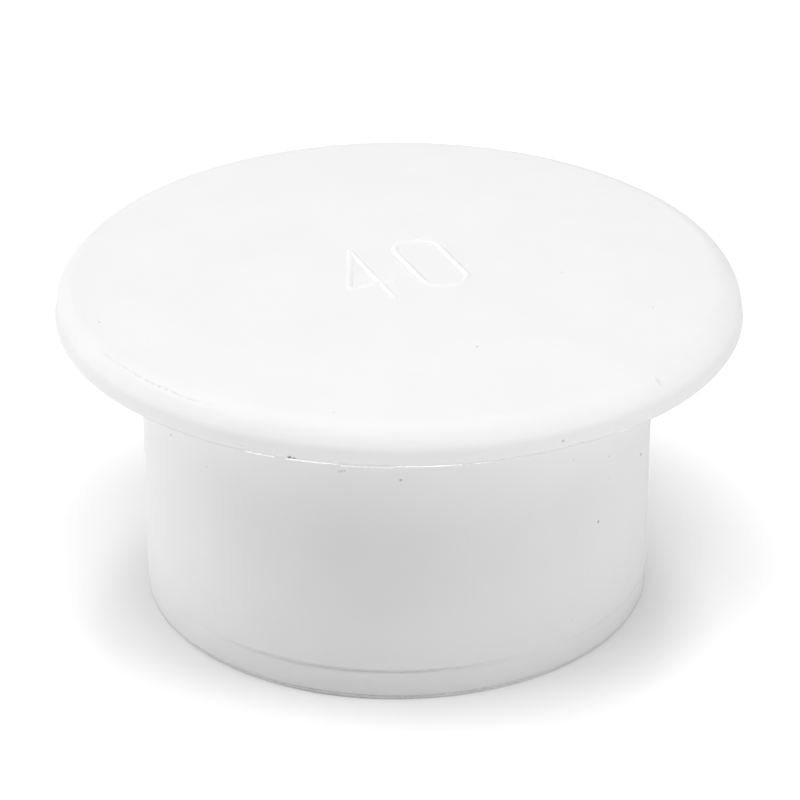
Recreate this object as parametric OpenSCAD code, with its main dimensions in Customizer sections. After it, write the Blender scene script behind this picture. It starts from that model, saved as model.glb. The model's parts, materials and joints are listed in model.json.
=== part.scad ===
// Push-in pipe cap for a 1 1/2 in (DN 40) pipe end: a round flanged cover on a hollow plug.
// The real cap is one white plastic moulding. Each node here is one section of that moulding,
// split where the steel parts of the mould met, so the sections touch face to face and never overlap.
// Origin: centre of the plug's open foot, on the surface the cap stands on. +Z runs up through the cover.

/* [Cover] */
// Diameter of the cover's flange
cover_d = 50.8; // [46:0.1:60]
// Thickness of the flange, from the pipe's end up to the flat middle of the top face
cover_t = 2.9; // [2.4:0.1:4]
// Thickness of the cover over the hollow, which is cored out to match the plug's wall
ceiling_t = 2; // [1.2:0.1:2.1]
// Radius of the flange's rounded upper edge
rim_r = 1.9; // [1:0.1:2.1]
// How far the top face falls between its flat middle and the rounded edge
crown_drop = 0.25; // [0.05:0.05:0.3]
// Diameter of the flat middle that carries the size figures
flat_d = 28; // [18:0.5:32]

/* [Plug] */
// Diameter of the plug, which is the bore of the pipe it closes
plug_d = 38.1; // [36:0.1:42]
// Length of the plug below the cover
plug_h = 22.6; // [16:0.1:40]
// Wall thickness of the plug at its open end
wall_t = 1.9; // [1.4:0.1:3]
// Draft of the hollow's wall, which narrows towards the cover
draft_deg = 0.8; // [0:0.1:1.5]
// Radius of the outer fillet between plug and flange
root_r = 0.5; // [0.2:0.1:1]
// Radius of the inner fillet round the hollow's ceiling
corner_r = 1.2; // [0.5:0.1:2]

/* [Lead-in] */
// Height of the lead-in band at the plug's open end
lead_h = 2.5; // [1.5:0.1:4]
// Radial step inward from the plug to the lead-in band
lead_step = 0.05; // [0.05:0.01:0.4]
// Radial taper of the lead-in band over its height
lead_taper = 0.04; // [0:0.02:0.6]
// Radius of the foot's outer edge
foot_outer_r = 0.3; // [0.1:0.05:0.5]
// Radius of the foot's inner edge
foot_inner_r = 0.25; // [0.1:0.05:0.5]

/* [Size figures] */
// Height of a figure
figure_h = 9; // [6:0.1:10]
// Width of a figure
figure_w = 4.1; // [3:0.1:6]
// Gap between the two figures
figure_gap = 1.4; // [1:0.1:3]
// Width of a raised stroke
stroke_w = 0.7; // [0.5:0.05:1]
// How far a stroke stands above the cover
stroke_rise = 0.14; // [0.1:0.02:0.4]
// Turn of the figures about the cap's axis, in degrees
figure_turn = 23; // [0:1:359]

/* [Witness marks] */
// How far the mould flash stands out round the flange's lower edge
rim_flash_w = 0.2; // [0.1:0.02:0.4]
// How far the mould flash stands out round the foot
foot_flash_w = 0.08; // [0.02:0.01:0.1]
// Thickness of the flash where it leaves the moulding
flash_t = 0.14; // [0.08:0.02:0.2]
// Diameter of the gate stub where it joins the hollow's ceiling
gate_d = 2.2; // [1:0.1:4]
// Diameter of the gate stub's free end, as a share of gate_d
gate_tip = 0.8; // [0.5:0.05:1]
// Height of the gate stub
gate_h = 0.8; // [0.3:0.1:1.5]

/* [Hidden] */

PLASTIC = [0.94, 0.94, 0.93];
TURN_FN = 180;
SMALL_FN = 64;
ARC_STEPS = 10;
// Places of the four's upright and crossbar, as shares of half the figure's width and height
STEM_SHARE = 0.45;
CROSSBAR_SHARE = -0.42;

cover_r = cover_d / 2;
plug_r = plug_d / 2;
seat_z = plug_h;
top_z = plug_h + cover_t;
ceiling_z = top_z - ceiling_t;
root_outer_r = plug_r + root_r;
shoulder_r = cover_r - rim_r;
shoulder_z = top_z - crown_drop;
lead_top_r = plug_r - lead_step;
foot_r = lead_top_r - lead_taper;
hollow_foot_r = plug_r - wall_t;

// Radius of the hollow's drafted wall at height z
function hollow_r(z) = hollow_foot_r - z * tan(draft_deg);

// Points of an arc about a centre, from angle a to angle b
function arc(centre, r, a, b, steps = ARC_STEPS) =
    [for (i = [0 : steps]) let (t = a + (b - a) * i / steps) centre + r * [cos(t), sin(t)]];

// Top face from the shoulder in to the flat middle, as a slope that dies away
function crown(steps = ARC_STEPS) =
    [for (i = [1 : steps]) let (t = 1 - i / steps)
        [flat_d / 2 + (shoulder_r - flat_d / 2) * t, top_z - crown_drop * t * t]];

module turned(outline) {
    color(PLASTIC) rotate_extrude($fn = TURN_FN) polygon(outline);
}

// Round cover: flat middle, crowned face, rounded edge, and a flat ring below that seats on the pipe's end
module cover_disc() {
    turned(concat(
        [[0, ceiling_z], [root_outer_r, ceiling_z], [root_outer_r, seat_z], [cover_r, seat_z]],
        arc([shoulder_r, shoulder_z - rim_r], rim_r, 0, 90),
        crown(),
        [[0, top_z]]
    ));
}

// A stroke of a figure, with square ends
module bar(from, to) {
    run = to - from;
    translate(from) rotate(atan2(run[1], run[0]))
        translate([-stroke_w / 2, -stroke_w / 2]) square([norm(run) + stroke_w, stroke_w]);
}

// A long-sided oval of the given width and height
module oval(w, h) {
    translate([-w / 2, -(h - w) / 2]) square([w, h - w]);
    for (side = [-1, 1]) translate([0, side * (h - w) / 2]) circle(d = w, $fn = SMALL_FN);
}

module figure_four() {
    half_w = (figure_w - stroke_w) / 2;
    half_h = (figure_h - stroke_w) / 2;
    stem_x = half_w * STEM_SHARE;
    bar_y = half_h * CROSSBAR_SHARE;
    bar([stem_x, -half_h], [stem_x, half_h]);
    bar([-half_w, bar_y], [half_w, bar_y]);
    bar([-half_w, bar_y], [stem_x, half_h]);
}

module figure_nought() {
    difference() {
        oval(figure_w, figure_h);
        oval(figure_w - 2 * stroke_w, figure_h - 2 * stroke_w);
    }
}

// Raised nominal size, read from the front of the cap
module size_figures() {
    pitch = figure_w + figure_gap;
    color(PLASTIC) translate([0, 0, top_z]) linear_extrude(stroke_rise) rotate(figure_turn) {
        translate([-pitch / 2, 0]) figure_four();
        translate([pitch / 2, 0]) figure_nought();
    }
}

// Thin fin where the two mould halves met, round the flange's lower edge
module rim_flash() {
    turned([[cover_r, seat_z], [cover_r + rim_flash_w, seat_z], [cover_r, seat_z + flash_t]]);
}

// Hollow tube that goes into the pipe, filleted into the cover inside and out
module plug_skirt() {
    corner_z = ceiling_z - corner_r;
    turned(concat(
        [[hollow_r(lead_h), lead_h], [plug_r, lead_h]],
        arc([root_outer_r, seat_z - root_r], root_r, 180, 90),
        [[root_outer_r, ceiling_z]],
        arc([hollow_r(corner_z) - corner_r, corner_z], corner_r, 90, 0)
    ));
}

// Stub left on the ceiling of the hollow where the plastic was fed in
module gate_vestige() {
    color(PLASTIC) translate([0, 0, ceiling_z - gate_h])
        cylinder(h = gate_h, d1 = gate_d * gate_tip, d2 = gate_d, $fn = SMALL_FN);
}

// Stepped and tapered band that guides the plug into the pipe, and the foot that the cap stands on
module lead_in_ring() {
    turned(concat(
        arc([hollow_foot_r + foot_inner_r, foot_inner_r], foot_inner_r, 180, 270),
        arc([foot_r - foot_outer_r, foot_outer_r], foot_outer_r, -90, 0),
        [[lead_top_r, lead_h], [hollow_r(lead_h), lead_h]]
    ));
}

// Thin fin round the foot, where the stripper ring met the mould
module foot_flash() {
    root_z = foot_outer_r;
    turned([[foot_r, root_z], [foot_r + foot_flash_w, root_z], [foot_r, root_z + flash_t]]);
}

cover_disc();
size_figures();
rim_flash();
plug_skirt();
gate_vestige();
lead_in_ring();
foot_flash();
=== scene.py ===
"""Looks of a white push-in pipe cap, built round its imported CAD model.

The cap is one polyethylene moulding, so every piece here is a section of that moulding:
the crowned cover, its raised size figures, the fin of flash round the flange, the plug's skirt,
the gate stub inside it, the lead-in band at the foot, and the fin of flash round the foot.
Lengths are millimetres in the CAD frame until a mesh is made, and angles run anticlockwise
from +X seen from above, so the front of the cap is at -90 degrees.
"""

import json
import math

import bpy
import numpy as np
from mathutils import Matrix, Vector


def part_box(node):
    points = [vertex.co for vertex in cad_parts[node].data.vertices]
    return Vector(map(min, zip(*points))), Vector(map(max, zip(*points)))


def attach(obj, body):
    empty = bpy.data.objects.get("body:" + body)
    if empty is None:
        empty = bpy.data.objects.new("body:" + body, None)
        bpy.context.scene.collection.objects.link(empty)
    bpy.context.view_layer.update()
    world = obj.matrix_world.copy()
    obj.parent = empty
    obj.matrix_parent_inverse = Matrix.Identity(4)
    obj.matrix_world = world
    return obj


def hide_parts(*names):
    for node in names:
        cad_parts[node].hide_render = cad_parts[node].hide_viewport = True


MM = 0.001
BODY = "root"

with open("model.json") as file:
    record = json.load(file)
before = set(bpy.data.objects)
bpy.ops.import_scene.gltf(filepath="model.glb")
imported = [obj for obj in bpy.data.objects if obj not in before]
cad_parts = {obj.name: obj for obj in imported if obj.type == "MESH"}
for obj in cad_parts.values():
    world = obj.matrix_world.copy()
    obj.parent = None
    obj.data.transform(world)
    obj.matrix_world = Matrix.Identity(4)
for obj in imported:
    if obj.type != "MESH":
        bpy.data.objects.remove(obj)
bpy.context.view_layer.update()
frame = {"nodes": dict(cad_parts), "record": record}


# ---------------------------------------------------------------- sizes, from the frame

def low_mm(node):
    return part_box(node)[0] / MM


def high_mm(node):
    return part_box(node)[1] / MM


def mount(name):
    return next(m for m in frame["record"]["mounts"] if m["name"] == name)


def inner_radius_mm(node):
    """Smallest distance from the axis of a ring-shaped CAD node's corners."""
    corners = (v.co / MM for v in frame["nodes"][node].data.vertices)
    return min(math.hypot(c.x, c.y) for c in corners)


cover_r = high_mm("cover_disc").x
top_z = high_mm("cover_disc").z
seat_z = low_mm("cover_disc").z
ceiling_z = high_mm("plug_skirt").z
root_outer_r = high_mm("plug_skirt").x
plug_r = mount("pipe_plug")["dims"]["r_mm"]
root_r = root_outer_r - plug_r
lead_h = low_mm("plug_skirt").z
lead_top_r = high_mm("lead_in_ring").x
foot_z = low_mm("foot_flash").z
rim_flash_r = high_mm("rim_flash").x
foot_flash_r = high_mm("foot_flash").x
flash_t = high_mm("rim_flash").z - seat_z
gate_z = low_mm("gate_vestige").z
gate_r = high_mm("gate_vestige").x
figures_z = high_mm("size_figures").z
hollow_foot_r = inner_radius_mm("lead_in_ring")

# Sizes that the CAD model shares but that a box doesn't show
crown_drop = 0.25
flat_r = 14
corner_r = 1.2
lead_taper = 0.04
foot_outer_r = 0.3
foot_inner_r = 0.25
draft = math.radians(0.8)

shoulder_z = top_z - crown_drop
foot_r = lead_top_r - lead_taper


# ---------------------------------------------------------------- camera

CAMERA_ELEVATION = math.radians(27.32)
CAMERA_ROLL = math.radians(-0.28)
CAMERA_DISTANCE = 317.5
CAMERA_LENS = 191
CAMERA_SENSOR = 36
CAMERA_AIM = Vector((0.21, 0, 14.66))


def make_camera():
    data = bpy.data.cameras.new("camera")
    data.lens = CAMERA_LENS
    data.sensor_width = CAMERA_SENSOR
    data.clip_start = 0.01
    camera = bpy.data.objects.new("camera", data)
    back = Vector((0, -math.cos(CAMERA_ELEVATION), math.sin(CAMERA_ELEVATION)))
    facing = back.to_track_quat("Z", "Y").to_matrix().to_4x4()
    place_at = (CAMERA_AIM + back * CAMERA_DISTANCE) * MM
    camera.matrix_world = (
        Matrix.Translation(place_at) @ Matrix.Rotation(CAMERA_ROLL, 4, back) @ facing)
    bpy.context.scene.collection.objects.link(camera)
    bpy.context.scene.camera = camera


make_camera()


# ---------------------------------------------------------------- mesh building

rng = np.random.default_rng(40)


def smooth_step(low, high, x):
    t = np.clip((x - low) / (high - low), 0, 1)
    return t * t * (3 - 2 * t)


def bell(x, width):
    """1 at x = 0, falling smoothly to nothing a few widths away."""
    return np.exp(-(x / width) ** 2)


def angle_from(theta, degrees):
    """How far each angle is from a direction, in degrees, between -180 and 180."""
    return (np.degrees(theta) - degrees + 180) % 360 - 180


def ripple(amount, lowest, highest):
    """A seeded wave round the axis, of the given size and range of lobes."""
    lobes = np.arange(lowest, highest + 1)
    sizes = rng.normal(size=len(lobes)) / np.sqrt(len(lobes))
    phases = rng.uniform(0, 2 * math.pi, len(lobes))

    def wave(theta):
        turns = np.multiply.outer(np.asarray(theta), lobes) + phases
        return amount * (np.cos(turns) @ sizes)
    return wave


def arc(r, z, radius, start, end, steps):
    """Points (r, z) of an arc about a centre, between two angles in degrees."""
    t = np.radians(np.linspace(start, end, steps + 1))
    return [(r + radius * math.cos(a), z + radius * math.sin(a)) for a in t]


def line(start, end, steps):
    """Points (r, z) along a straight stretch, without its last one."""
    start, run = np.array(start), np.subtract(end, start)
    return [tuple(start + run * i / steps) for i in range(steps)]


SHARP_ANGLE = math.radians(40)


def mesh_piece(name, points, faces):
    """A mesh object from points in millimetres."""
    mesh = bpy.data.meshes.new(name)
    mesh.from_pydata((np.asarray(points) * MM).tolist(), [], faces)
    mesh.validate()
    piece = bpy.data.objects.new(name, mesh)
    bpy.context.scene.collection.objects.link(piece)
    mesh.shade_smooth()
    mesh.set_sharp_from_angle(angle=SHARP_ANGLE)
    return piece


def turned_piece(name, outline, theta, deform):
    """A closed body of revolution from a closed outline that runs anticlockwise in (r, z).

    An outline that starts and ends on the axis gets one point at each end. deform(theta, r, z)
    returns the moved r and z of every point.
    """
    outline = np.asarray(outline, float)
    r = np.repeat(outline[:, :1], len(theta), axis=1)
    z = np.repeat(outline[:, 1:], len(theta), axis=1)
    on_axis = outline[0, 0] == 0
    r, z = deform(np.broadcast_to(theta, r.shape), r, z)
    points = np.stack([r * np.cos(theta), r * np.sin(theta), z], axis=-1)
    count = len(theta)
    ahead = np.roll(np.arange(count), -1)
    rows = len(outline)

    def strip(first, second):
        a = first * count + np.arange(count)
        b = first * count + ahead
        c = second * count + ahead
        d = second * count + np.arange(count)
        return np.stack([a, b, c, d], axis=-1).tolist()

    if not on_axis:
        faces = [face for i in range(rows) for face in strip(i, (i + 1) % rows)]
        return mesh_piece(name, points.reshape(-1, 3), faces)
    inner = points[1:-1].reshape(-1, 3)
    ends = [points[0].mean(axis=0), points[-1].mean(axis=0)]
    first_end, last_end = len(inner), len(inner) + 1
    last_row = (rows - 3) * count
    faces = [face for i in range(rows - 3) for face in strip(i, i + 1)]
    faces += [[first_end, int(b), int(a)] for a, b in zip(range(count), ahead)]
    faces += [[last_end, last_row + a, last_row + int(b)] for a, b in zip(range(count), ahead)]
    return mesh_piece(name, np.vstack([inner, ends]), faces)


def even_angles(count):
    return np.linspace(-math.pi, math.pi, count, endpoint=False)


def set_painted_shade(piece, painted_shade):
    """Stores how much painted shade each point gets, from 0 to 1, for the material to read."""
    layer = piece.data.attributes.new("painted_shade", "FLOAT", "POINT")
    layer.data.foreach_set("value", np.clip(painted_shade(piece), 0, 1))


def polar_points(piece):
    """Angle, radius and height of every point of a piece, in radians and millimetres."""
    flat = np.empty(3 * len(piece.data.vertices))
    piece.data.vertices.foreach_get("co", flat)
    x, y, z = flat.reshape(-1, 3).T / MM
    return np.arctan2(y, x), np.hypot(x, y), z


def place(piece, node, material):
    """Puts a finished piece in the model in place of its CAD node."""
    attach(piece, BODY)
    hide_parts(node)
    piece.data.materials.clear()
    piece.data.materials.append(material)


# ---------------------------------------------------------------- materials

def add(tree, kind, inputs=None, **settings):
    """Adds a node; each input is a value or another node's output."""
    made = tree.nodes.new(kind)
    for key, value in settings.items():
        setattr(made, key, value)
    for key, value in (inputs or {}).items():
        if isinstance(value, bpy.types.NodeSocket):
            tree.links.new(value, made.inputs[key])
        else:
            made.inputs[key].default_value = value
    return made


def math_node(tree, operation, a, b):
    return add(tree, "ShaderNodeMath", {0: a, 1: b}, operation=operation).outputs[0]


def vector_node(tree, operation, a, b):
    return add(tree, "ShaderNodeVectorMath", {0: a, 1: b}, operation=operation).outputs


def ramp(tree, value, low, high, to_low=0.0, to_high=1.0):
    """Smooth change from to_low to to_high as value goes from low to high."""
    made = add(tree, "ShaderNodeMapRange", {
        "Value": value, "From Min": low, "From Max": high, "To Min": to_low, "To Max": to_high,
    }, interpolation_type="SMOOTHSTEP")
    return made.outputs["Result"]


def noise(tree, where, scale, detail, rough=0.5):
    made = add(tree, "ShaderNodeTexNoise", {
        "Vector": where, "Scale": scale, "Detail": detail, "Roughness": rough,
    })
    return made.outputs["Fac"]


def position_mm(tree):
    """Object coordinates, which are the CAD frame, in millimetres."""
    coords = add(tree, "ShaderNodeTexCoord").outputs["Object"]
    made = add(tree, "ShaderNodeVectorMath", {0: coords, "Scale": 1 / MM}, operation="SCALE")
    return made.outputs[0]


def distance_to(tree, where, spot):
    return vector_node(tree, "DISTANCE", where, spot)["Value"]


# Share of a speck's radius that is fully dark
SPECK_CORE = 0.4


def stray_specks(tree, where, cell, size):
    """Mask of rare round specks, one at most in each cell of space."""
    cells = add(tree, "ShaderNodeTexVoronoi", {"Vector": where, "Scale": 1 / cell})
    gap = cells.outputs["Distance"]
    return ramp(tree, gap, SPECK_CORE * size / cell, size / cell, 1.0, 0.0)


def placed_specks(tree, where, specks):
    """Mask of single specks, each a position, a radius in millimetres and a darkness."""
    mask = None
    for spot, size, dark in specks:
        gap = distance_to(tree, where, spot)
        one = ramp(tree, gap, SPECK_CORE * size, size, dark, 0.0)
        mask = one if mask is None else math_node(tree, "MAXIMUM", mask, one)
    return mask


PLASTIC_COLOUR = frame["record"]["materials"][0]["base_color"]
DULL_SHARE = 0.988
# Colour of the dark specks, and also the colour that the painted shade is mixed towards
SPECK_AND_SHADE_COLOUR = (0.16, 0.15, 0.14, 1)
STRAY_CELL = 3.4
STRAY_SIZE = 0.06
STRAY_DARKNESS = 0.3
GRAIN_HEIGHT = 0.006
SWELL_HEIGHT = 0.05
STREAK_SCALE = (2.6, 2.6, 0.05)
LEAST_ROUGH = 0.5
MOST_ROUGH = 0.6
SEE_THROUGH_DEPTH = 1.2 * MM


def plastic(name, tone=1.0, specks=(), streaks=0.0, rings=0.0, see_through=0.0, with_painted_shade=False):
    """White polyethylene: faint mottling, moulded grain, dark specks, and optional mould marks.

    streaks is the height of draw marks along the axis, and rings that of turning marks round it,
    both in millimetres. see_through is the share of light scattered under the surface, which only
    the thin flash uses, because it darkens the seam where two pieces touch. A piece with painted
    shade also shows the painted shade stored on its points, mixed in towards the speck colour.
    """
    material = bpy.data.materials.new(name)
    material.use_nodes = True
    tree = material.node_tree
    tree.nodes.clear()
    where = position_mm(tree)
    base = [tone * c for c in PLASTIC_COLOUR]
    dull = [DULL_SHARE * c for c in base]

    mottle = ramp(tree, noise(tree, where, 0.16, 3.0), 0.35, 0.65)
    colour = add(tree, "ShaderNodeMix", {"Factor": mottle, "A": (*dull, 1), "B": (*base, 1)},
                 data_type="RGBA").outputs["Result"]
    stray = stray_specks(tree, where, STRAY_CELL, STRAY_SIZE)
    mask = math_node(tree, "MULTIPLY", stray, STRAY_DARKNESS)
    if specks:
        mask = math_node(tree, "MAXIMUM", mask, placed_specks(tree, where, specks))
    # Painted shade stored on the points darkens the colour towards the speck colour
    if with_painted_shade:
        stored_shade = add(tree, "ShaderNodeAttribute", attribute_name="painted_shade").outputs["Fac"]
        mask = math_node(tree, "MAXIMUM", mask, stored_shade)
    colour = add(tree, "ShaderNodeMix", {"Factor": mask, "A": colour, "B": SPECK_AND_SHADE_COLOUR},
                 data_type="RGBA").outputs["Result"]

    grain = noise(tree, where, 5.0, 3.0, 0.55)
    swell = noise(tree, where, 0.35, 2.0)
    height = math_node(tree, "ADD", math_node(tree, "MULTIPLY", grain, GRAIN_HEIGHT),
                       math_node(tree, "MULTIPLY", swell, SWELL_HEIGHT))
    if streaks:
        drawn_out = vector_node(tree, "MULTIPLY", where, STREAK_SCALE)[0]
        drawn = noise(tree, drawn_out, 1.0, 3.0, 0.6)
        height = math_node(tree, "ADD", height, math_node(tree, "MULTIPLY", drawn, streaks))
    if rings:
        split = add(tree, "ShaderNodeSeparateXYZ", {0: where}).outputs
        flat = add(tree, "ShaderNodeCombineXYZ", {0: split[0], 1: split[1]}).outputs[0]
        radius = add(tree, "ShaderNodeVectorMath", {0: flat}, operation="LENGTH").outputs["Value"]
        along = add(tree, "ShaderNodeCombineXYZ", {0: radius, 2: split[2]}).outputs[0]
        turned = noise(tree, along, 3.2, 2.0, 0.7)
        height = math_node(tree, "ADD", height, math_node(tree, "MULTIPLY", turned, rings))
    bump = add(tree, "ShaderNodeBump", {"Strength": 1.0, "Distance": MM, "Height": height})

    rough = ramp(tree, noise(tree, where, 1.1, 3.0), 0.3, 0.7, LEAST_ROUGH, MOST_ROUGH)
    shader = add(tree, "ShaderNodeBsdfPrincipled", {
        "Base Color": colour, "Roughness": rough, "Normal": bump.outputs["Normal"],
        "IOR": 1.5, "Specular IOR Level": 0.2,
        "Subsurface Weight": see_through, "Subsurface Radius": (1.0, 0.98, 0.95),
        "Subsurface Scale": SEE_THROUGH_DEPTH,
    })
    add(tree, "ShaderNodeOutputMaterial", {"Surface": shader.outputs["BSDF"]})
    return material


def on_cylinder(radius, degrees, z):
    a = math.radians(degrees)
    return (radius * math.cos(a), radius * math.sin(a), z)


# Each speck's place, radius in millimetres and darkness
COVER_SPECKS = [
    (on_cylinder(14.0, -66, top_z), 0.14, 0.4),
    (on_cylinder(12.2, -3, top_z), 0.12, 0.2),
    (on_cylinder(19.6, -19, top_z - 0.1), 0.12, 0.25),
    (on_cylinder(22.9, -159, top_z - 0.2), 0.13, 0.35),
    (on_cylinder(22.8, -101, top_z - 0.2), 0.12, 0.2),
    (on_cylinder(cover_r - 0.02, -107, seat_z + 0.1), 0.24, 0.8),
    (on_cylinder(cover_r - 0.02, -106.3, seat_z + 0.08), 0.2, 0.7),
    (on_cylinder(cover_r, -115.2, seat_z + 0.4), 0.14, 0.35),
    (on_cylinder(cover_r, -63.1, seat_z + 0.5), 0.14, 0.4),
]
SKIRT_SPECKS = [
    (on_cylinder(plug_r, -149.4, 16.9), 0.14, 0.35),
    (on_cylinder(plug_r, -134.6, 18.4), 0.12, 0.25),
    (on_cylinder(plug_r, -136, 16.2), 0.12, 0.2),
    (on_cylinder(plug_r, -102.5, 18.6), 0.12, 0.25),
    (on_cylinder(plug_r, -101.9, 18.65), 0.12, 0.3),
    (on_cylinder(plug_r, -101.3, 18.7), 0.12, 0.25),
    (on_cylinder(plug_r, -89.3, 18.15), 0.15, 0.4),
    (on_cylinder(plug_r, -48.3, 17.1), 0.13, 0.3),
    (on_cylinder(plug_r, -37.4, 17.7), 0.12, 0.25),
    (on_cylinder(plug_r, -36.3, 15.8), 0.13, 0.3),
    (on_cylinder(plug_r, -36.1, 14), 0.12, 0.25),
    (on_cylinder(plug_r, -39.8, 10.9), 0.17, 0.75),
    (on_cylinder(plug_r, -43, 7.4), 0.13, 0.2),
    (on_cylinder(plug_r, -48, 3.8), 0.12, 0.2),
    (on_cylinder(plug_r, -19.3, 13.3), 0.19, 0.7),
]

cover_plastic = plastic("white_plastic_cover", specks=COVER_SPECKS, with_painted_shade=True)
skirt_plastic = plastic("white_plastic_skirt", specks=SKIRT_SPECKS, streaks=0.004)
inner_plastic = plastic("white_plastic_foot", streaks=0.003, rings=0.004, with_painted_shade=True)
# A lighter copy of the same plastic: painted light on the raised figures
figure_plastic_painted_lit = plastic("white_plastic_figures_painted_lit", tone=1.02)
# A lighter copy of the same plastic: painted light on the thin flash fins
flash_plastic_painted_lit = plastic("white_plastic_flash_painted_lit", tone=1.03, see_through=0.8)


# ---------------------------------------------------------------- cover

# Angles round the cap, and lifts up the rim's rounding, are in degrees
CREASE_FROM = -154
CREASE_TO = -118
CREASE_START_FADE = 8
CREASE_END_FADE = 16
CREASE_LIFT = 53
CREASE_WANDER = 0.05
CREASE_W = 0.1
CREASE_DEPTH = 0.08
# Darkness of the painted shade in the crease
CREASE_SHADE = 0.1
FOLD_BELOW_CREASE = 0.3
FOLD_W = 0.22
FOLD_RISE = 0.03
NICK_AT = -42
NICK_LIFT = 46
NICK_W = 0.09
NICK_LENGTH = 0.3
NICK_DEPTH = 0.09
# Darkness of the painted shade in the nick
NICK_SHADE = 0.16
# Painted shade that darkens the rim's rounding at the left: its angle, its spread in degrees, and
# its darkness
LEFT_RIM_SHADE_AT = -163
LEFT_RIM_SHADE_SPREAD = 28
LEFT_RIM_SHADE_STRENGTH = 0.06
RIM_ABOVE_SEAT = 0.5

FLANGE_SHIFT = 0.18
FLANGE_TILT = 0.15
EDGE_ROUND = 0.06

# The rim's side wall leans in by RIM_DRAFT degrees. The rounding runs from it to the top face in
# arcs. Each has a radius, the angle up to which it turns the face, and a count of steps. The
# second arc is nearly a chamfer.
RIM_DRAFT = 8
RIM_ARCS = [(1.3, 30, 10), (3.2, 47, 8), (2.0, 62, 26), (2.0, 90, 9)]


def rim_rounding():
    """Points (r, z) of the rounding from the side wall up, and the centre of its last arc."""
    points = [np.zeros(2)]
    facing = RIM_DRAFT
    for radius, turned_to, steps in RIM_ARCS:
        start = np.array((math.cos(math.radians(facing)), math.sin(math.radians(facing))))
        centre = points[-1] - radius * start
        points += [np.array(p) for p in arc(*centre, radius, facing, turned_to, steps)[1:]]
        facing = turned_to
    wall_z = shoulder_z - points[-1][1]
    wall_r = cover_r - (wall_z - seat_z) * math.tan(math.radians(RIM_DRAFT))
    base = np.array((wall_r, wall_z))
    return [tuple(base + p) for p in points], base + centre


rim_points, rim_centre = rim_rounding()
shoulder_r = rim_points[-1][0]
rim_r = RIM_ARCS[-1][0]

outline_wave = ripple(0.04, 3, 11)
warp_wave = ripple(0.03, 2, 4)
crease_dashes = ripple(1.0, 60, 260)
crease_wander = ripple(1.0, 8, 40)


def rim_out(theta):
    """How far the flange's edge stands out of true: it is slightly off centre to the right."""
    return FLANGE_SHIFT * np.cos(theta) + outline_wave(theta)


def rim_up(theta):
    """How far the flange's edge stands up out of true: it droops slightly to the right."""
    return -FLANGE_TILT * np.cos(theta) + warp_wave(theta)


def offset_share(r):
    """How much of the flange's offset a point takes: none above the plug, and all at the edge."""
    return np.clip(r / cover_r, 0, 1) ** 2 * smooth_step(root_outer_r, cover_r, r)


def crown(r):
    """Height of the top face at radius r: a flat middle, and a slope that grows to the shoulder."""
    t = np.clip((r - flat_r) / (shoulder_r - flat_r), 0, 1)
    return top_z - crown_drop * t * t


def cover_outline():
    edge = EDGE_ROUND
    return (
        [(0, ceiling_z)]
        + line((1.2, ceiling_z), (root_outer_r, ceiling_z), 3)
        + line((root_outer_r, ceiling_z), (root_outer_r, seat_z), 2)
        + line((root_outer_r, seat_z), (cover_r - edge, seat_z), 6)
        + arc(cover_r - edge, seat_z + edge, edge, -90, RIM_DRAFT, 5)
        + line((cover_r - 0.03, seat_z + edge + 0.1), rim_points[0], 4)
        + rim_points
        + [(r, crown(r)) for r in np.linspace(shoulder_r, 0.5, 44)[1:]]
        + [(0, top_z)]
    )


def rim_lift(r, z):
    """Direction that a point of the rim's upper rounding faces, in degrees up from the side."""
    return np.degrees(np.arctan2(z - rim_centre[1], r - rim_centre[0]))


def crease_marks(theta, lift):
    """Strengths of the crease at the left front and of the fold that runs below it.

    The crease breaks into dashes, and both fade at their ends.
    """
    at = angle_from(theta, 0)
    start = smooth_step(CREASE_FROM, CREASE_FROM + CREASE_START_FADE, at)
    end = 1 - smooth_step(CREASE_TO - CREASE_END_FADE, CREASE_TO, at)
    dashes = np.clip(0.75 + 0.35 * crease_dashes(theta), 0, 1)
    gap = (lift - CREASE_LIFT) * math.radians(rim_r) + CREASE_WANDER * crease_wander(theta)
    crease = start * end * dashes * bell(gap, CREASE_W)
    fold = start * end * bell(gap + FOLD_BELOW_CREASE, FOLD_W)
    return crease, fold


def nick_mark(theta, lift):
    """Strength of the short nick across the rounding at the right front."""
    across = angle_from(theta, NICK_AT) * math.radians(cover_r)
    along = (lift - NICK_LIFT) * math.radians(rim_r)
    return bell(across, NICK_W) * bell(along, NICK_LENGTH)


def on_rim(r, z):
    """Whether a point is on the rim's outer side, where the marks are."""
    return (r > shoulder_r - 1) & (z > seat_z + RIM_ABOVE_SEAT)


def shape_cover(theta, r, z):
    """Presses in the crease and the nick, raises the fold, and puts the flange out of true."""
    lift = rim_lift(r, z)
    crease, fold = crease_marks(theta, lift)
    away = FOLD_RISE * fold - CREASE_DEPTH * crease - NICK_DEPTH * nick_mark(theta, lift)
    away = away * on_rim(r, z)
    share = offset_share(r)
    r = r + rim_out(theta) * share + away * np.cos(np.radians(lift))
    z = z + rim_up(theta) * share + away * np.sin(np.radians(lift))
    return r, z


def left_rim_painted_shade(theta, r):
    """Faint painted shade on the rim's rounding at the left, off both the top face and the side
    wall.
    """
    outside_face = smooth_step(shoulder_r - 0.3, shoulder_r + 0.8, r)
    inside_wall = 1 - smooth_step(cover_r - 0.6, cover_r - 0.1, r)
    at_left = bell(angle_from(theta, LEFT_RIM_SHADE_AT), LEFT_RIM_SHADE_SPREAD)
    return LEFT_RIM_SHADE_STRENGTH * at_left * outside_face * inside_wall


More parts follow.
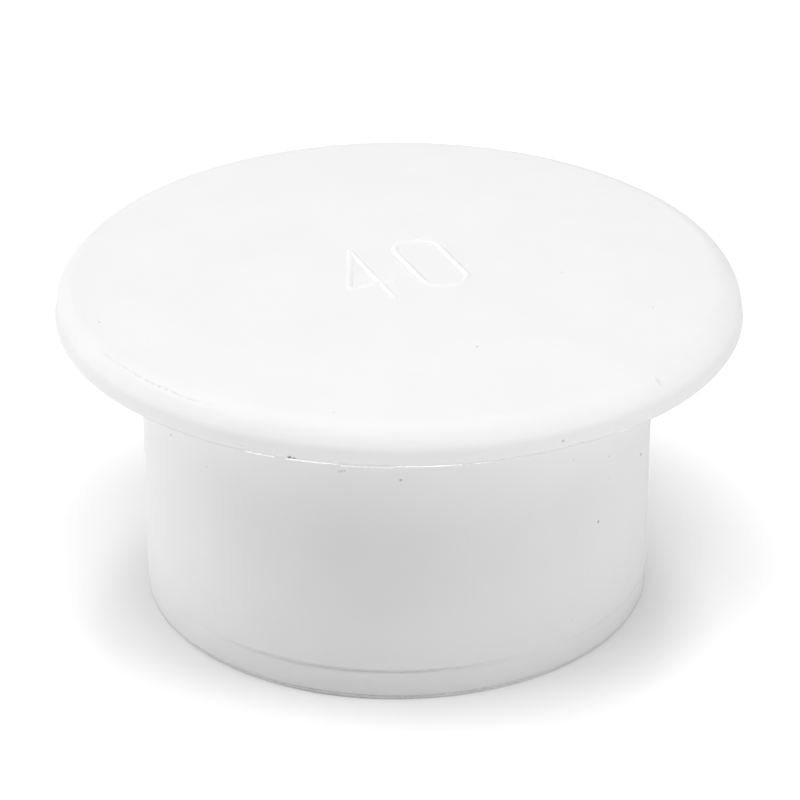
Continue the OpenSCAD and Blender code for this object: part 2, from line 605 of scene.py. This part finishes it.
def cover_painted_shade(piece):
    """Painted shade in the crease and the nick, and faint painted shade on the rim at the left."""
    theta, r, z = polar_points(piece)
    share = offset_share(r)
    lift = rim_lift(r - rim_out(theta) * share, z - rim_up(theta) * share)
    crease, _ = crease_marks(theta, lift)
    marks = CREASE_SHADE * crease + NICK_SHADE * nick_mark(theta, lift)
    return np.maximum(marks, left_rim_painted_shade(theta, r)) * on_rim(r, z)


COVER_STEPS = 540
LEAST_STEP = math.radians(0.03)


def cover_angles():
    """Even steps, with closer ones along the crease and across the nick, and none too close."""
    crease = np.radians(np.arange(CREASE_FROM, CREASE_TO, 0.16))
    nick = np.radians(NICK_AT + np.arange(-1.2, 1.2, 0.08))
    angles = np.unique(np.concatenate([even_angles(COVER_STEPS), crease, nick]))
    return angles[np.diff(angles, prepend=-math.inf) > LEAST_STEP]


cover = turned_piece("cover", cover_outline(), cover_angles(), shape_cover)
set_painted_shade(cover, cover_painted_shade)
place(cover, "cover_disc", cover_plastic)


# ---------------------------------------------------------------- raised size figures

FIGURE_H = 9.0
FIGURE_W = 4.1
FIGURE_GAP = 1.4
FIGURE_TURN = math.radians(23)
# Places of the four's upright and crossbar, as shares of half the figure's width and height
STEM_SHARE = 0.45
CROSSBAR_SHARE = -0.42
STROKE = 0.7
STROKE_SINK = 0.03
STROKE_CELL = 0.06
# How much flatter than a cosine a stroke's crest is
CREST_FLATTEN = 0.25


def segment_distance(x, y, start, end):
    """Distance of each point from a straight stroke's middle line."""
    start, end = np.array(start), np.array(end)
    run = end - start
    t = np.clip(((x - start[0]) * run[0] + (y - start[1]) * run[1]) / (run @ run), 0, 1)
    return np.hypot(x - start[0] - t * run[0], y - start[1] - t * run[1])


def four_distance(x, y):
    half_w = (FIGURE_W - STROKE) / 2
    half_h = (FIGURE_H - STROKE) / 2
    stem_x = STEM_SHARE * half_w
    bar_y = CROSSBAR_SHARE * half_h
    strokes = [
        ((stem_x, -half_h), (stem_x, half_h)),
        ((-half_w, bar_y), (half_w, bar_y)),
        ((-half_w, bar_y), (stem_x, half_h)),
    ]
    return np.min([segment_distance(x, y, a, b) for a, b in strokes], axis=0)


def nought_distance(x, y):
    half_w = (FIGURE_W - STROKE) / 2
    straight = (FIGURE_H - STROKE) / 2 - half_w
    beyond = np.maximum(np.abs(y) - straight, 0)
    return np.abs(np.hypot(x, beyond) - half_w)


def figure_piece(name, centre_x, distance):
    """One figure as a soft ridge along its strokes, whose foot sinks just under the top face."""
    rise = figures_z - top_z
    reach = STROKE / 2
    span_x = FIGURE_W / 2 + 0.1
    span_y = FIGURE_H / 2 + 0.1
    xs = np.arange(-span_x, span_x + STROKE_CELL, STROKE_CELL)
    ys = np.arange(-span_y, span_y + STROKE_CELL, STROKE_CELL)
    x, y = np.meshgrid(xs, ys)
    gap = distance(x, y)
    ridge = np.cos(np.clip(gap / reach, 0, 1) * math.pi / 2) ** 2
    ridge = ridge * (1 - CREST_FLATTEN * ridge) / (1 - CREST_FLATTEN)
    z = top_z - STROKE_SINK + (rise + STROKE_SINK) * ridge
    inside = gap < reach + STROKE_CELL
    cells = inside[:-1, :-1] & inside[1:, :-1] & inside[:-1, 1:] & inside[1:, 1:]
    index = np.arange(x.size).reshape(x.shape)
    corners = (index[:-1, :-1], index[:-1, 1:], index[1:, 1:], index[1:, :-1])
    quads = np.stack([corner[cells] for corner in corners], axis=-1)
    used, renamed = np.unique(quads, return_inverse=True)
    top = renamed.reshape(quads.shape)
    bottom = top[:, ::-1] + len(used)
    # An edge that no other face runs the opposite way is on the outline, and gets a side face
    edges = {}
    for face in top.tolist():
        for a, b in zip(face, face[1:] + face[:1]):
            edges[(a, b)] = True
    sides = [[b, a, a + len(used), b + len(used)] for a, b in edges if (b, a) not in edges]
    px, py = x.ravel()[used] + centre_x, y.ravel()[used]
    c, s = math.cos(FIGURE_TURN), math.sin(FIGURE_TURN)
    upper = np.stack([c * px - s * py, s * px + c * py, z.ravel()[used]], axis=-1)
    lower = upper.copy()
    lower[:, 2] = top_z - 2 * STROKE_SINK
    return mesh_piece(name, np.vstack([upper, lower]), top.tolist() + bottom.tolist() + sides)


def make_figures():
    pitch = FIGURE_W + FIGURE_GAP
    four = figure_piece("size_figure_four", -pitch / 2, four_distance)
    nought = figure_piece("size_figure_nought", pitch / 2, nought_distance)
    for piece in (four, nought):
        place(piece, "size_figures", figure_plastic_painted_lit)


make_figures()


# ---------------------------------------------------------------- flash fins

# Outline of a fin in shares of its width and thickness, with its root inside the moulding
FIN_OUTLINE = [(-0.3, 0.0), (0.5, 0.0), (1.0, 0.15), (0.85, 0.4), (0.4, 0.8), (-0.3, 1.0)]
FIN_SINK = 0.02


def fin(name, root, z, width, thickness, count):
    """A thin ragged fin round the cap. root, z, width and thickness each depend on the angle."""
    def spread(angle, across, up):
        return root(angle) + across * width(angle), z(angle) + up * thickness(angle)
    return turned_piece(name, FIN_OUTLINE, even_angles(count), spread)


LEAN_AT = -5
LEAN_SPREAD = 35
LEAN = 0.16

skirt_wave = ripple(0.035, 2, 7)


def lean(theta, z):
    """How far the plug's wall leans in at the right: nothing at the flange, LEAN at the foot."""
    return LEAN * bell(angle_from(theta, LEAN_AT), LEAN_SPREAD) * (1 - z / seat_z)


fine_rag = ripple(1.0, 90, 420)
coarse_rag = ripple(1.0, 12, 60)


def between(theta, start, end, soft):
    """1 between two angles in degrees, falling softly to 0 outside them."""
    at = angle_from(theta, 0)
    after_start = smooth_step(start - soft, start + soft, at)
    return after_start * (1 - smooth_step(end - soft, end + soft, at))


RIM_FLASH_TRACE = 0.012
RIM_FLASH_LEAST = 0.004
# Lengths of wider flash: start and end in degrees, width, and softness of the ends in degrees.
# The last one is a gap in the first.
RIM_FLASH_LENGTHS = [
    (-114.5, -99.4, 0.115, 0.5),
    (-99, -91, 0.08, 0.5),
    (-90.6, -76, 0.1, 1.5),
    (-76, -66, 0.05, 3),
    (-62.5, -59.5, 0.06, 0.5),
    (-53, -50, 0.07, 0.5),
    (-109.4, -107.6, -0.12, 0.25),
]
RIM_STEP = 0.13
RIM_STEP_FROM = -99.2
RIM_STEP_TO = -90.8
BURR = 0.1
BURR_AT = -90.7
BURR_W = 0.35


def rim_flash_width(theta):
    """Widest across the front, where the mould halves closed least well, in uneven lengths."""
    width = RIM_FLASH_TRACE
    for start, end, more, soft in RIM_FLASH_LENGTHS:
        width = width + more * between(theta, start, end, soft)
    rag = 0.3 * fine_rag(theta) + 0.25 * coarse_rag(theta)
    return np.clip(width * (1 + rag), RIM_FLASH_LEAST, rim_flash_r - cover_r)


def rim_flash_drop(theta):
    """How far the fin hangs below the flange: a step along one length, and a burr at its end."""
    step = RIM_STEP * between(theta, RIM_STEP_FROM, RIM_STEP_TO, 0.3)
    return step + BURR * bell(angle_from(theta, BURR_AT), BURR_W)


def rim_flash_z(theta):
    return seat_z + rim_up(theta) - rim_flash_drop(theta) + 0.006 * coarse_rag(theta)


def rim_flash_thickness(theta):
    return flash_t * (0.6 + 0.12 * fine_rag(theta)) + rim_flash_drop(theta)


def rim_flash_root(theta):
    return cover_r - FIN_SINK + rim_out(theta)


rim_fin = fin("rim_flash_fin", rim_flash_root, rim_flash_z, rim_flash_width,
              rim_flash_thickness, 2400)
place(rim_fin, "rim_flash", flash_plastic_painted_lit)


FOOT_FLASH_LEAST = 0.012
# Ragged patches: where, how wide in degrees, and how strong
FOOT_PATCHES = [(-104, 9, 1.0), (-140, 7, 0.8)]


def foot_flash_width(theta):
    """Ragged at the left front, and a trace elsewhere."""
    patch = sum(strength * bell(angle_from(theta, at), w) for at, w, strength in FOOT_PATCHES)
    width = 0.03 + 0.08 * patch + (0.012 + 0.05 * patch) * fine_rag(theta)
    return np.clip(width, FOOT_FLASH_LEAST, foot_flash_r - foot_r)


def foot_flash_root(theta):
    return foot_r - FIN_SINK - lean(theta, foot_z)


def foot_flash_z(theta):
    return np.full_like(theta, foot_z)


def foot_flash_thickness(theta):
    return flash_t * (0.6 + 0.1 * fine_rag(theta))


foot_fin = fin("foot_flash_fin", foot_flash_root, foot_flash_z, foot_flash_width,
               foot_flash_thickness, 1800)
place(foot_fin, "foot_flash", flash_plastic_painted_lit)


# ---------------------------------------------------------------- plug

LOW_EDGE_ROUND = 0.12
WALL_SINK = 0.02
WALL_SINK_FADE = 3
LEDGE_AT = -102
LEDGE_SPREAD = 29
LEDGE_LEAST = 0.4


def plateau(theta, middle, spread):
    """1 round an angle in degrees, falling away steeply on both sides."""
    return np.exp(-(angle_from(theta, middle) / spread) ** 4)


def ledge(theta):
    """How crisp the step over the lead-in band is: full at the left front, faint at the sides."""
    return LEDGE_LEAST + (1 - LEDGE_LEAST) * plateau(theta, LEDGE_AT, LEDGE_SPREAD)


def hollow_r(z):
    """Radius of the hollow's drafted wall at height z."""
    return hollow_foot_r - z * math.tan(draft)


def skirt_outline():
    corner_z = ceiling_z - corner_r
    corner = (hollow_r(corner_z) - corner_r, corner_z)
    soft = LOW_EDGE_ROUND
    return (
        line((hollow_r(lead_h), lead_h), (plug_r - soft, lead_h), 4)
        + arc(plug_r - soft, lead_h + soft, soft, -90, 0, 6)
        + line((plug_r, lead_h + 2 * soft), (plug_r, seat_z - root_r), 40)
        + arc(root_outer_r, seat_z - root_r, root_r, 180, 90, 10)
        + line((root_outer_r, seat_z + 0.1), (root_outer_r, ceiling_z), 2)
        + line((root_outer_r, ceiling_z), (corner[0], ceiling_z), 6)
        + arc(*corner, corner_r, 90, 0, 12)
        + line((hollow_r(corner_z - 0.3), corner_z - 0.3), (hollow_r(lead_h), lead_h), 30)
    )


def shape_skirt(theta, r, z):
    """Sinks and waves the wall between its ends, leans it in, and fades its low edge's rounding."""
    above_foot = smooth_step(lead_h, lead_h + WALL_SINK_FADE, z)
    middle = above_foot * (1 - smooth_step(seat_z - WALL_SINK_FADE, seat_z, z))
    outer = r > hollow_foot_r
    low_edge = (r > plug_r - 0.2) & (z < lead_h + 0.2)
    r = r + np.where(low_edge, (plug_r - r) * (1 - ledge(theta)), 0)
    out = (skirt_wave(theta) * middle - lean(theta, z)) * outer
    return r - WALL_SINK * middle + out, z


skirt = turned_piece("plug_wall", skirt_outline(), even_angles(720), shape_skirt)
place(skirt, "plug_skirt", skirt_plastic)


# ---------------------------------------------------------------- lead-in band

GROOVE_H = 0.4
GROOVE_DEPTH = 0.13
# Painted contact shade at the foot: the angle where it is strongest, its spread in degrees, its
# darkness, and its share elsewhere
FOOT_SHADE_AT = -105
FOOT_SHADE_SPREAD = 24
FOOT_SHADE_STRENGTH = 0.1
FOOT_SHADE_ELSEWHERE = 0.1


def lead_outline():
    return (
        arc(hollow_foot_r + foot_inner_r, foot_inner_r, foot_inner_r, 180, 270, 6)
        + line((hollow_foot_r + foot_inner_r + 0.1, 0), (foot_r - foot_outer_r, 0), 5)
        + arc(foot_r - foot_outer_r, foot_outer_r, foot_outer_r, -90, 0, 8)
        + line((foot_r, foot_outer_r + 0.1), (lead_top_r, lead_h - GROOVE_H), 8)
        + [(lead_top_r - GROOVE_DEPTH * math.sin(math.pi * t) ** 2, lead_h - GROOVE_H * (1 - t))
           for t in np.linspace(0, 0.7, 9)]
        + line((lead_top_r - GROOVE_DEPTH, lead_h), (hollow_r(lead_h), lead_h), 5)
        + line((hollow_r(lead_h), lead_h), (hollow_foot_r, foot_inner_r + 0.1), 5)
    )


def shape_band(theta, r, z):
    """Groove and step die away at the sides, and the band leans with the plug."""
    outer = r > hollow_foot_r + 1
    in_groove = outer & (z > lead_h - GROOVE_H)
    fade = 1 - ledge(theta)
    r = r + np.where(in_groove, (lead_top_r - r) * fade, 0)
    r = r + (plug_r - lead_top_r) * fade * smooth_step(0.4, lead_h, z) * outer
    return r - lean(theta, z) * outer, z


def band_painted_shade(piece):
    """Painted contact shade on the foot's outer edge, in patches, mostly at the left front."""
    theta, r, z = polar_points(piece)
    patch = np.clip(0.6 + 0.5 * coarse_rag(theta) + 0.4 * fine_rag(theta), 0, 1)
    front = FOOT_SHADE_ELSEWHERE + (1 - FOOT_SHADE_ELSEWHERE) * plateau(theta, FOOT_SHADE_AT, FOOT_SHADE_SPREAD)
    low = 1 - smooth_step(0.1, 0.55, z)
    return FOOT_SHADE_STRENGTH * patch * front * low * (r > foot_r - foot_outer_r - 0.2)


band = turned_piece("lead_in_band", lead_outline(), even_angles(1080), shape_band)
set_painted_shade(band, band_painted_shade)
place(band, "lead_in_ring", inner_plastic)


# ---------------------------------------------------------------- gate stub

GATE_TIP_SHARE = 0.8
TEAR_H = 0.35

gate_rag = ripple(0.05, 2, 9)


def gate_outline():
    tip_r = GATE_TIP_SHARE * gate_r
    return (
        [(0, gate_z + 0.12)]
        + line((0.15, gate_z + 0.1), (tip_r * 0.8, gate_z + 0.04), 6)
        + [(tip_r * 0.8, gate_z + 0.04), (tip_r, gate_z), (tip_r + 0.04, gate_z + 0.08)]
        + line((tip_r + 0.05, gate_z + 0.2), (gate_r, ceiling_z), 5)
        + [(gate_r, ceiling_z), (0.4, ceiling_z), (0, ceiling_z)]
    )


def shape_gate(theta, r, z):
    """Makes the free end's edge uneven, as it is where the gate broke off."""
    torn = 1 - smooth_step(gate_z, gate_z + TEAR_H, z)
    return r, z + np.maximum(gate_rag(theta) * torn * np.clip(r / gate_r, 0, 1), 0)


stub = turned_piece("gate_stub", gate_outline(), even_angles(96), shape_gate)
place(stub, "gate_vestige", inner_plastic)


# ---------------------------------------------------------------- floor and light

FLOOR_HALF = 1.5
FLOOR_COLOUR = (0.8, 0.8, 0.8, 1)
# The floor glows less near the cap than far from it. The weaker glow is a painted contact shadow
# round a point a little left of the axis and in front of it.
GLOW_IN_PAINTED_SHADOW = 0.14
GLOW_FAR = 0.28
PAINTED_SHADOW_FADE = 7
PAINTED_SHADOW_CENTRE = (-1, -8, 0)


def make_floor():
    """A faintly glowing white floor, like a light table, whose weaker glow by the cap is a painted
    shadow.
    """
    half = FLOOR_HALF
    corners = [(-half, -half, 0), (half, -half, 0), (half, half, 0), (-half, half, 0)]
    mesh = bpy.data.meshes.new("floor")
    mesh.from_pydata(corners, [], [(0, 1, 2, 3)])
    floor = bpy.data.objects.new("floor", mesh)
    bpy.context.scene.collection.objects.link(floor)
    material = bpy.data.materials.new("pale_floor")
    material.use_nodes = True
    tree = material.node_tree
    tree.nodes.clear()
    away = distance_to(tree, position_mm(tree), PAINTED_SHADOW_CENTRE)
    glow_with_painted_shadow = ramp(tree, away, foot_r, foot_r + PAINTED_SHADOW_FADE, GLOW_IN_PAINTED_SHADOW, GLOW_FAR)
    shader = add(tree, "ShaderNodeBsdfPrincipled", {
        "Base Color": FLOOR_COLOUR, "Roughness": 0.9, "Specular IOR Level": 0.0,
        "Emission Color": (1, 1, 1, 1), "Emission Strength": glow_with_painted_shadow,
    })
    add(tree, "ShaderNodeOutputMaterial", {"Surface": shader.outputs["BSDF"]})
    mesh.materials.append(material)


LIGHT_DISTANCE = 0.9
LIGHT_SIZE = 0.5
HIGH = 75
MIDDLE = 65
LOW = 16.2
WORLD_STRENGTH = 0.02
# Softboxes: name, angle round the cap, elevation and power. Both angles are in degrees.
LIGHTS = [
    ("overhead", -90, 82, 2.25),
    ("high_left_front", -120, HIGH, 1.35),
    ("high_right_front", -60, HIGH, 1.5),
    ("high_left", -150, MIDDLE, 1.75),
    ("high_right", -30, MIDDLE, 1.5),
    ("low_left_back", 150, LOW, 2.3),
    ("low_left", 180, LOW, 1.0),
    ("low_left_front", -163, LOW, 0.3),
    ("low_right", -12, LOW, 1.95),
    ("low_back", 90, LOW, 0.25),
]


def softbox(name, azimuth, elevation, power):
    """A soft square light aimed at the cap's middle."""
    data = bpy.data.lights.new(name, "AREA")
    data.size = LIGHT_SIZE
    data.energy = power
    light = bpy.data.objects.new(name, data)
    a, e = math.radians(azimuth), math.radians(elevation)
    out = Vector((math.cos(a) * math.cos(e), math.sin(a) * math.cos(e), math.sin(e)))
    place_at = out * LIGHT_DISTANCE + Vector((0, 0, top_z / 2 * MM))
    facing = out.to_track_quat("Z", "Y").to_matrix().to_4x4()
    light.matrix_world = Matrix.Translation(place_at) @ facing
    bpy.context.scene.collection.objects.link(light)


def make_world(strength):
    world = bpy.data.worlds.new("studio")
    world.use_nodes = True
    background = world.node_tree.nodes["Background"]
    background.inputs["Color"].default_value = (1, 1, 1, 1)
    background.inputs["Strength"].default_value = strength
    bpy.context.scene.world = world


make_floor()
for light_name, around, up, power in LIGHTS:
    softbox(light_name, around, up, power)
make_world(WORLD_STRENGTH)
bpy.context.scene.view_settings.view_transform = "Standard"
